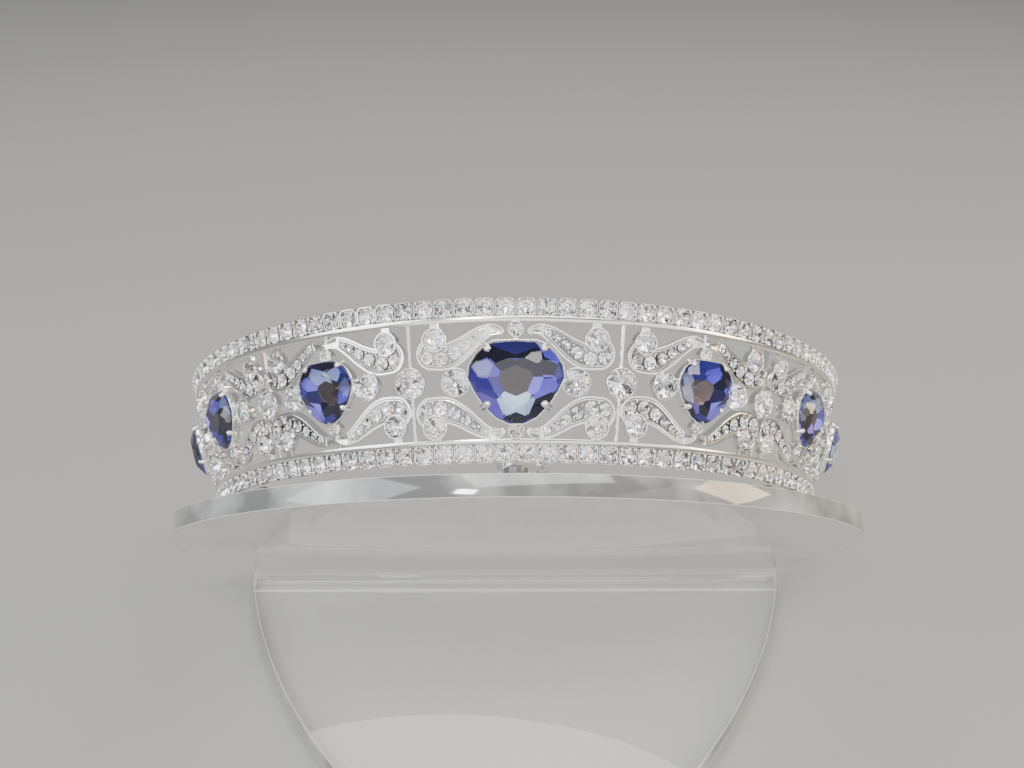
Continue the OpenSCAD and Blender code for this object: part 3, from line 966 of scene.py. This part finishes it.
def foot_half_width(y):
    """Half width of the foot at a distance in front of the fold."""
    if y < TANGENT_Y:
        return sqrt(FOOT_SIDE_R ** 2 - (y - FOOT_SIDE_Y) ** 2) - FOOT_SIDE_X
    return sqrt(max(0.0, FOOT_TIP_R ** 2 - (y - TIP_Y) ** 2))


def foot_stations():
    """Distances in front of the fold at which the foot's outline is drawn, closer together at its tip."""
    sides = [BEND_REACH + (TANGENT_Y - BEND_REACH) * k / FOOT_SIDE_PARTS
             for k in range(1, FOOT_SIDE_PARTS + 1)]
    first = asin((TANGENT_Y - TIP_Y) / FOOT_TIP_R)
    turns = [first + (FOOT_TIP_END - first) * k / FOOT_TIP_PARTS for k in range(1, FOOT_TIP_PARTS + 1)]
    return sides + [TIP_Y + FOOT_TIP_R * sin(a) for a in turns]


def is_edge(face):
    """True on the small faces round the edge of the sheet, and not on the long strips of its bend."""
    across = [v.co.x for v in face.verts]
    is_strip = abs(face.normal.x) < STRIP_TILT and len(across) == 4 and min(across) < STRIP_X
    return face.calc_area() < EDGE_FACE_AREA and not is_strip


def sheet_up(middle):
    """Direction square to the sheet at a place: it leans with the disc and is upright in the foot."""
    if middle.z > SHEET_T + 2 * BEND_R:
        return Vector((0, sin(SHEET_ANGLE), cos(SHEET_ANGLE)))
    return Vector((0, 0, 1))


def make_sheet():
    """One clear sheet: a disc cut straight at the back, spun round the bend and drawn out into the foot."""
    sheet = start("bent_sheet", bpy.ops.mesh.primitive_cylinder_add, vertices=256, radius=DISC_R,
                  depth=SHEET_T)
    slide(y=DISC_Y, z=-PAD_H - SHEET_T / 2)
    slice_off((0, BEND_START_Y, 0), (0, 1, 0))
    pick(lambda middle, face: face.normal.y > 0.999 and middle.y > BEND_START_Y - CLOSE)
    bpy.ops.mesh.spin(steps=BEND_PARTS, angle=BEND_TURN, axis=(1, 0, 0),
                      center=(0, BEND_START_Y, -PAD_H - SHEET_T - BEND_R))
    bpy.ops.mesh.select_all(action="SELECT")
    slide(y=-FOLD_Y, z=PAD_H + SHEET_T)
    rotate(-SHEET_ANGLE, "X")
    slide(y=FOLD_WORLD_Y, z=SHEET_T)
    foot_start = FOLD_WORLD_Y - BEND_REACH
    pick(lambda middle, face: abs(middle.y - foot_start) < CLOSE and abs(face.normal.y) > 0.99
         and middle.z < SHEET_T)
    y, half = BEND_REACH, NECK_W
    for ny in foot_stations():
        nhalf = foot_half_width(ny)
        extrude(y=y - ny)
        resize(nhalf / half, 1, 1)
        y, half = ny, nhalf
    sheet.data.materials.append(CLEAR_SHEET)
    finish_bench(sheet, CLEAR_SHEET, smooth=30, bevel=0.6, segments=3)
    bpy.ops.object.mode_set(mode="EDIT")
    pick(lambda middle, face: is_edge(face))
    paint(SHEET_EDGE)
    # The corner bevels get the painted highlight.
    pick(lambda middle, face: is_edge(face) and abs(face.normal.dot(sheet_up(middle))) > CORNER_TILT)
    paint(SHEET_CORNER_HIGHLIGHT)
    bpy.ops.object.mode_set(mode="OBJECT")
    return sheet


def make_pad():
    """Round pad with a domed top, standing on depth 0."""
    pad = start("pad", bpy.ops.mesh.primitive_cylinder_add, vertices=32, radius=PAD_R, depth=PAD_WALL_H)
    slide(z=PAD_WALL_H / 2)
    pick(is_top)
    reach, height = PAD_R, PAD_WALL_H
    for k in range(1, PAD_DOME_PARTS + 1):
        a = asin(PAD_R / PAD_DOME_R) * (1 - k / (PAD_DOME_PARTS + 0.5))
        nreach = PAD_DOME_R * sin(a)
        nheight = PAD_H - PAD_CLEARANCE - PAD_DOME_R + PAD_DOME_R * cos(a)
        extrude(z=nheight - height)
        resize(nreach / reach, nreach / reach, 1)
        reach, height = nreach, nheight
    return finish_bench(pad, PAD_GREY, smooth=50, bevel=0.08)


def make_block():
    """Small clear block with polished edges, standing on depth 0."""
    block = start("block", bpy.ops.mesh.primitive_cube_add, size=BLOCK_SIDE)
    slide(z=BLOCK_SIDE / 2)
    return finish_bench(block, CLEAR_SHEET, bevel=0.3, segments=2)


# Bringing the masters to their places

def scroll_places():
    """The place of each of the four scrolls of every panel, mirrored as needed."""
    places = []
    for i in PANELS:
        shift = (BROAD_SHIFT if i == MID_PANEL else SIDE_SHIFT) - SCROLL_MIDDLE
        for side in (-1, 1):
            for level in (-1, 1):
                edge_v = TOP_RAIL_V if level > 0 else OPEN_LOW_V
                angle = panel_angle(i) - side * arc_angle(shift, edge_v - SCROLL_CENTRE_V * level)
                drop = LOW_MIDDLE_DROP if i == MID_PANEL and level < 0 else SCROLL_DROP
                places.append(on_band(angle, edge_v) @ Matrix.Diagonal((-side, level, 1, 1)) @ move(y=-drop))
    return places


def around(x, y, z=0.0):
    """A place off the middle, turned so that its -x side looks back to the middle."""
    return move(x, y, z) @ turn(atan2(y, x), "Z")


def ring_of(count, reach, first=pi / 4, z=0.0):
    """Places evenly round the middle, each turned to look back at it."""
    turns = [first + k * 2 * pi / count for k in range(count)]
    return [around(reach * cos(a), reach * sin(a), z) for a in turns]


# Small stones along a scroll, from the round end to the tip, and grains at their ends: along, up, radius
SCROLL_STONES = [(-6.55, -5.75, 1.2), (-3.75, -6.0, 1.3), (-1.05, -4.95, 1.15), (1.1, -3.55, 0.95),
                 (2.95, -2.3, 0.76), (4.45, -1.45, 0.58)]
END_GRAINS = [(-8.1, -4.85, 0.3), (-7.9, -3.6, 0.25), (-2.6, -4.1, 0.3), (-5.3, -7.35, 0.28),
              (5.25, -1.1, 0.24)]
GRAIN_SPREAD = 0.42
GRAIN_LEAST_R = 0.12
GRAIN_GROWTH = 0.07
GRAIN_SINK = 0.12
SMALL_STONE_RISE = 0.37
SMALL_TILT = 0.08
ROW_TILT = 0.06
ROW_CLAW_X = 1.5
ROW_CLAW_Y = 1.42
ROW_CLAW_SINK = 0.2
HEAD_CLAW_SINK = 0.25
CLAW_SINK = 0.45
CLAW_GAP = 0.05
ACCENT_CLAW_GAP = 0.02
NECK_OUT = 0.8
BLUE_CLAW_OUT = 0.3
BLUE_CLAW_SINK = 0.7
BRIDGE_INSET = 1.3
# The struts of a round stone end inside its setting, at these shares of the stone's radius
BRIDGE_REACH = 0.85
STRUT_REACH = 0.9
STRUT_NARROW = 0.8


def scroll_grains():
    """Grains of metal on both sides of each gap between the small stones."""
    grains = list(END_GRAINS)
    for (ax, ay, ar), (bx, by, br) in zip(SCROLL_STONES, SCROLL_STONES[1:]):
        across = Vector((ay - by, bx - ax)).normalized() * (ar + br) * GRAIN_SPREAD
        r = GRAIN_LEAST_R + GRAIN_GROWTH * (ar + br)
        for side in (-1, 1):
            grains.append(((ax + bx) / 2 + side * across.x, (ay + by) / 2 + side * across.y, r))
    return grains


def loose(dice, tilt):
    """Turns a stone by chance in its setting and tilts it a little."""
    return turn(dice.random() * pi, "Z") @ turn(dice.uniform(-tilt, tilt), "X")


def set_brilliants(name, places, top, r, replaced, dice, seed):
    """Round stones of radius r, each turned by chance, with the rims of their settings at this height."""
    stones = set_copies(name, [(BRILLIANT, place @ move(z=top - GIRDLE_SINK) @ turn(dice.random() * pi, "Z")
                                @ Matrix.Scale(r, 4)) for place in places], [replaced])
    add_tones(stones, seed)


def build_rows():
    for name, stones, cups, rail, step, count, v, rail_v, seed in (
            ("upper_row_cups", "top_row_cut_stones", "top_row_stones", "upper_rail",
             ROW_TOP_STEP, ROW_TOP_COUNT, ROW_TOP_V, TOP_RAIL_V, 11),
            ("lower_row_cups", "bottom_row_cut_stones", "bottom_row_stones", "lower_rail",
             ROW_LOW_STEP, ROW_LOW_COUNT, ROW_LOW_V, LOW_RAIL_V, 12)):
        dice = random.Random(seed)
        places = [on_band((k + 0.5) * step, v) for k in range(-count, count)]
        corners = [around(x * ROW_CLAW_X, y * ROW_CLAW_Y, -ROW_CLAW_SINK) for x in (-1, 1) for y in (-1, 1)]
        jobs = [(ROW_CUP, place) for place in places]
        jobs += [(ROW_CLAW, place @ corner) for place in places for corner in corners]
        set_metal(name, jobs)
        piece = set_copies(stones, [
            (BRILLIANT, place @ move(z=-ROW_SINK) @ loose(dice, ROW_TILT) @ Matrix.Scale(ROW_STONE_R, 4))
            for place in places], [cups])
        add_tones(piece, seed)
        set_metal(rail, [(make_rail(rail + "_form", rail_v), ON_DISC)])


def build_scrolls():
    places = scroll_places()
    head_x, head_y = SCROLL_HEAD
    heads = [place @ move(head_x, head_y) for place in places]
    jobs = [(SCROLL, place) for place in places]
    jobs += [(SCROLL_NECK, head @ move(y=HEAD_STONE_R + NECK_OUT)) for head in heads]
    set_metal("scroll_plates", jobs)
    jobs = [(HEAD_SETTING, head) for head in heads]
    jobs += [(SMALL_CLAW, head @ claw) for head in heads
             for claw in ring_of(4, HEAD_STONE_R + CLAW_GAP, z=HEAD_TOP - HEAD_CLAW_SINK)]
    set_metal("scroll_head_settings", jobs)
    dice = random.Random(21)
    set_brilliants("scroll_head_cut_stones", heads, HEAD_TOP, HEAD_STONE_R, "scroll_head_stones", dice, 22)
    small = set_copies("scroll_small_stones", [
        (SMALL_STONE, place @ move(x, y, SMALL_STONE_RISE * r - FIELD_DEPTH) @ loose(dice, SMALL_TILT)
         @ Matrix.Scale(r, 4))
        for place in places for x, y, r in SCROLL_STONES])
    add_tones(small, 23)
    set_copies("scroll_grains", [(GRAIN, place @ move(x, y, -GRAIN_SINK) @ Matrix.Scale(r, 4))
                                 for place in places for x, y, r in scroll_grains()])


def blue_claws(i, middle):
    """The four claws of a blue stone, two at its shoulders and two low on its sides."""
    width, height = blue_size(i)
    jobs = []
    for x, y in (BLUE_HALF[2], BLUE_HALF[7]):
        up = y * height / 2 + (BLUE_CLAW_OUT if y > 0 else -BLUE_CLAW_OUT)
        for side in (-1, 1):
            across = side * (x * width / 2 + BLUE_CLAW_OUT)
            jobs.append((BLUE_CLAW[i == MID_PANEL], middle @ around(across, up, BLUE_LIFT - BLUE_CLAW_SINK)))
    return jobs


def set_accent(i, middle, name, turned, dice):
    """Sets one round stone beside, over or under a blue stone, and lists the metal that holds it."""
    upright = name in ("upper", "lower")
    level = 1 if name == "upper" else -1
    if upright:
        reach, r, setting, claw, bridge = (small_offset(i, level), small_stone_r(i),
                                           SMALL_SETTING[i == MID_PANEL], SMALL_CLAW, STRUT_SHORT)
    else:
        reach, r, setting, claw, bridge = side_offset(i), SIDE_STONE_R, SIDE_SETTING, SIDE_CLAW, STRUT_WIDE
    outward = middle @ turn(turned, "Z")
    place = outward @ move(x=reach)
    jobs = [(setting, place)]
    jobs += [(claw, place @ at) for at in ring_of(4, r + ACCENT_CLAW_GAP, z=SETTING_TOP - CLAW_SINK)]
    inner = blue_size(i)[1 if upright else 0] / 2 - BRIDGE_INSET
    span = reach - r * BRIDGE_REACH - inner
    jobs.append((bridge, outward @ move(x=inner + span / 2) @ Matrix.Diagonal((span, 1, 1, 1))))
    if upright:
        outer = reach + r * STRUT_REACH
        span = rail_reach(i, level) + SOLDER - outer
        drawn = Matrix.Diagonal((span, STRUT_NARROW, 1, 1))
        jobs.append((STRUT_SHORT, outward @ move(x=outer + span / 2) @ drawn))
    set_brilliants(f"{name}_accent_cut_stone_{i}", [place], SETTING_TOP, r, f"{name}_accent_stone_{i}", dice,
                   40 + 4 * i + len(name))
    return jobs


def build_panels():
    dice = random.Random(31)
    for i in PANELS:
        wide = i == MID_PANEL
        middle = on_band(panel_angle(i), panel_v(i))
        stone = set_copies(f"blue_cut_stone_{i}", [(BLUE_CUT[wide], middle @ move(z=BLUE_LIFT))],
                           [f"blue_stone_{i}"])
        # The copy's facets are told apart as they lie on the bench
        stone.data.transform(middle.inverted())
        add_tones(stone, 30 + i, blue_tones(BLUE_TURNS[i]))
        stone.data.transform(middle)
        jobs = [(BLUE_SETTING[wide], middle)] + blue_claws(i, middle)
        for name, turned in (("right", 0), ("left", pi), ("upper", pi / 2), ("lower", -pi / 2)):
            jobs += set_accent(i, middle, name, turned, dice)
        set_metal(f"blue_stone_setting_{i}", jobs)


def build_bars():
    dice = random.Random(51)
    for i in BARS:
        middle = on_band(bar_angle(i), MIDDLE_V)
        jobs = [(BAR_HALF, middle @ move(y=side * (BAR_STONE_R + BAR_SPAN / 2))) for side in (-1, 1)]
        jobs.append((BAR_SETTING, middle))
        jobs += [(SIDE_CLAW, middle @ at)
                 for at in ring_of(6, BAR_STONE_R + CLAW_GAP, first=0, z=SETTING_TOP - CLAW_SINK)]
        set_metal(f"upright_bar_{i}", jobs)
        set_brilliants(f"bar_cut_stone_{i}", [middle], SETTING_TOP, BAR_STONE_R, f"bar_stone_{i}", dice,
                       60 + i)
    set_metal("end_posts", [(END_POST, on_band(side * POST_ANGLE, MIDDLE_V)) for side in (-1, 1)])


def build_stand():
    set_copies("clear_bent_sheet", [(make_sheet(), Matrix.Scale(MM, 4))], ["stand_sheet"])
    block_place = ON_DISC @ move(*BLOCK_PLACE, GAP - PAD_H) @ turn(BLOCK_TURN, "Z")
    set_copies("clear_stop_block", [(make_block(), block_place)], ["stop_block"])
    pad = make_pad()
    for i, angle in enumerate(PAD_ANGLES, 1):
        place = ON_DISC @ turn(radians(angle), "Z") @ move(y=ROW_DEPTH / 2 - BAND_R, z=GAP - PAD_H)
        set_copies(f"domed_pad_{i}", [(pad, place)], [f"support_pad_{i}"])


# Floor and light

FLOOR_GAP = 0.3 * MM
LIT_MIDDLE = (0, 0, 0.07)
# Soft studio lights: place, width and height, power and colour
LIGHTS = {
    "front_light": ((0.0, -1.2, 0.62), (1.9, 0.5), 5.0, (1.0, 1.0, 1.0)),
    "low_light": ((0.0, -1.3, 0.12), (1.7, 0.14), 2.4, (1.0, 1.0, 1.0)),
    "high_light": ((0.15, -0.55, 1.25), (1.0, 0.45), 11, (1.0, 1.0, 1.0)),
    "window_light": ((-1.05, -0.5, 0.8), (0.8, 0.8), 11, (0.93, 0.97, 1.0)),
    "right_light": ((1.0, -0.62, 0.62), (0.8, 0.6), 2.4, (1.0, 0.96, 0.88)),
    "top_light": ((0.05, 0.45, 1.1), (1.0, 0.5), 8, (1.0, 0.98, 0.95)),
    "warm_light": ((1.0, -0.12, 0.5), (0.4, 0.4), 7, (1.0, 0.76, 0.45)),
    "spark_light": ((-0.3, -0.8, 0.9), (0.12, 0.12), 4, (1.0, 1.0, 1.0)),
}
CAMERA_LENS = 37.27
CAMERA_SENSOR = 36
CAMERA_NEAR = 0.005
CAMERA_PLACE = (-0.743 * MM, -198.2 * MM, 207.7 * MM)
CAMERA_TILT = radians(60.24)
CAMERA_ROLL = -0.003


def build_floor():
    material, _, shader = new_material("pale_floor")
    shader.inputs["Base Color"].default_value = (0.29, 0.287, 0.28, 1)
    shader.inputs["Roughness"].default_value = 0.6
    floor = start("pale_floor_plane", bpy.ops.mesh.primitive_plane_add, size=8)
    slide(z=-FLOOR_GAP)
    bpy.ops.object.mode_set(mode="OBJECT")
    floor.data.materials.append(material)


def add_light(name, place, size, power, colour):
    lamp = bpy.data.lights.new(name, "AREA")
    lamp.shape, lamp.size, lamp.size_y = "RECTANGLE", size[0], size[1]
    lamp.energy, lamp.color = power, colour
    holder = bpy.data.objects.new(name, lamp)
    holder.location = place
    holder.rotation_euler = (Vector(LIT_MIDDLE) - Vector(place)).to_track_quat("-Z", "Y").to_euler()
    bpy.context.scene.collection.objects.link(holder)


def build_light():
    world = bpy.data.worlds.new("studio")
    bpy.context.scene.world = world
    world.use_nodes = True
    sky = world.node_tree.nodes["Background"]
    sky.inputs["Color"].default_value = (0.86, 0.88, 0.90, 1)
    sky.inputs["Strength"].default_value = 0.40
    for name, row in LIGHTS.items():
        add_light(name, *row)


# Camera at the photograph's angle

def add_camera():
    camera = bpy.data.cameras.new("photo_camera")
    camera.lens, camera.sensor_width, camera.clip_start = CAMERA_LENS, CAMERA_SENSOR, CAMERA_NEAR
    holder = bpy.data.objects.new("photo_camera", camera)
    holder.matrix_world = move(*CAMERA_PLACE) @ turn(CAMERA_TILT, "X") @ turn(CAMERA_ROLL, "Z")
    bpy.context.scene.collection.objects.link(holder)
    bpy.context.scene.camera = holder


# The masters

POST_LENGTH = TOP_RAIL_V - OPEN_LOW_V + 2 * SOLDER
BAR_SPAN = POST_LENGTH / 2 - BAR_STONE_R
BAR_TOP = -0.4
STRUT_TOP = SETTING_BASE + 1.1
STRUT_DEPTH = 0.9
BLUE_SIZES = {True: BROAD_BLUE, False: SIDE_BLUE}
SMALL_SIZES = {True: BROAD_SMALL_R, False: SIDE_SMALL_R}

ROW_CUP = make_row_cup()
ROW_CLAW = make_claw("row_claw", r=0.3, height=0.35, lean=0.1)
SMALL_CLAW = make_claw("small_claw", r=0.26, height=0.45, lean=0.12)
SIDE_CLAW = make_claw("side_claw", r=0.36, height=0.6, lean=0.25)
BLUE_CLAW = {True: make_claw("broad_claw", r=0.8, height=1.1, lean=1.1),
             False: make_claw("blue_claw", r=0.6, height=1.0, lean=0.7)}
GRAIN = make_bead()
BRILLIANT = cut_brilliant()
SMALL_STONE = cut_small_stone()
SCROLL = make_scroll()
HEAD_SETTING = make_setting("head_setting", HEAD_STONE_R, HEAD_TOP, -SCROLL_T, wall=0.4, flare=1.0)
SIDE_SETTING = make_setting("side_setting", SIDE_STONE_R, SETTING_TOP, SETTING_BASE)
BAR_SETTING = make_setting("bar_setting", BAR_STONE_R, SETTING_TOP, SETTING_BASE)
SMALL_SETTING = {wide: make_setting("small_setting", r, SETTING_TOP, SETTING_BASE)
                 for wide, r in SMALL_SIZES.items()}
BLUE_CUT = {wide: cut_blue(size, "blue_cut") for wide, size in BLUE_SIZES.items()}
BLUE_SETTING = {wide: make_blue_setting("blue_setting", size) for wide, size in BLUE_SIZES.items()}
SCROLL_NECK = make_bar("scroll_neck", length=1.4, width=1.8, depth=STRUT_DEPTH, top=1.1 - SCROLL_T)
STRUT_SHORT = make_bar("strut_short", length=1.0, width=1.0, depth=STRUT_DEPTH, top=STRUT_TOP)
STRUT_WIDE = make_bar("strut_wide", length=1.2, width=1.0, depth=STRUT_DEPTH, top=STRUT_TOP)
BAR_HALF = make_bar("bar_half", length=BAR_SPAN, width=0.7, depth=STRUT_DEPTH, top=BAR_TOP)
END_POST = make_bar("end_post", length=POST_LENGTH, width=1.6, depth=STRUT_DEPTH, top=BAR_TOP)

add_camera()
build_floor()
build_light()
build_stand()
build_rows()
build_scrolls()
build_panels()
build_bars()
for master in bench_pieces:
    bpy.data.objects.remove(master)
